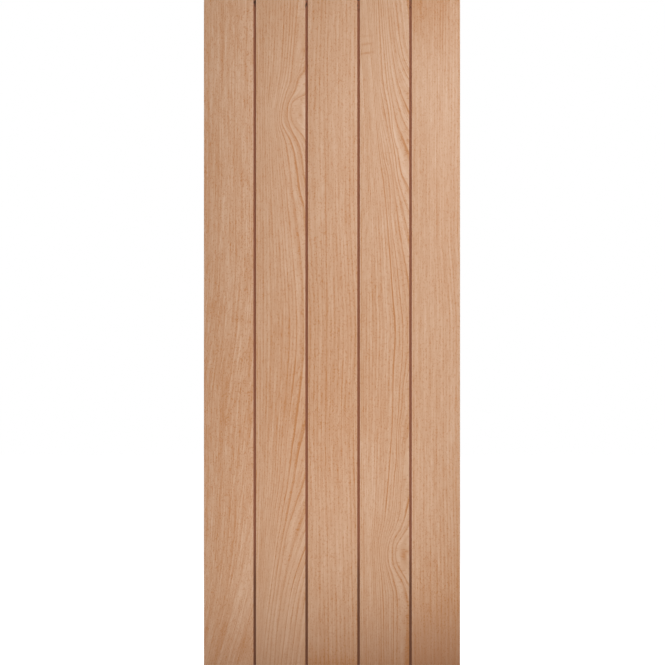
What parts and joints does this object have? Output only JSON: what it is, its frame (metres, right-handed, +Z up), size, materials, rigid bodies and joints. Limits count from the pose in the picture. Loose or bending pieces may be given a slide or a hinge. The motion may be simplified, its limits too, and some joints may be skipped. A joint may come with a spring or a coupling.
{
  "type": "boarded oak door leaf",
  "caption": "Flush oak door leaf with upright tongued and grooved boards on both faces, vee grooves between them, over a framed core with oak-lipped edges, to be hung on hinges.",
  "frame": {"origin": "foot of the hinge edge, midway through the thickness, on the hinge lipping's outer face", "axes": "+Z up the leaf, +X across it from the hinge edge to the lock edge, front face towards -Y"},
  "size_m": [0.762, 0.035, 1.981],
  "materials": {
    "oak_boards": "matte",
    "oak_lipping": "matte",
    "softwood_frame": "matte",
    "chip_core": "matte"
  },
  "bodies": {
    "root": {"front_board_1": "oak_boards", "front_board_2": "oak_boards", "front_board_3": "oak_boards", "front_board_4": "oak_boards", "front_board_5": "oak_boards", "back_board_1": "oak_boards", "back_board_2": "oak_boards", "back_board_3": "oak_boards", "back_board_4": "oak_boards", "back_board_5": "oak_boards", "hinge_lipping": "oak_lipping", "lock_lipping": "oak_lipping", "hinge_stile": "softwood_frame", "lock_stile": "softwood_frame", "top_rail": "softwood_frame", "lock_rail": "softwood_frame", "bottom_rail": "softwood_frame", "upper_core": "chip_core", "lower_core": "chip_core"}
  },
  "joints": []
}
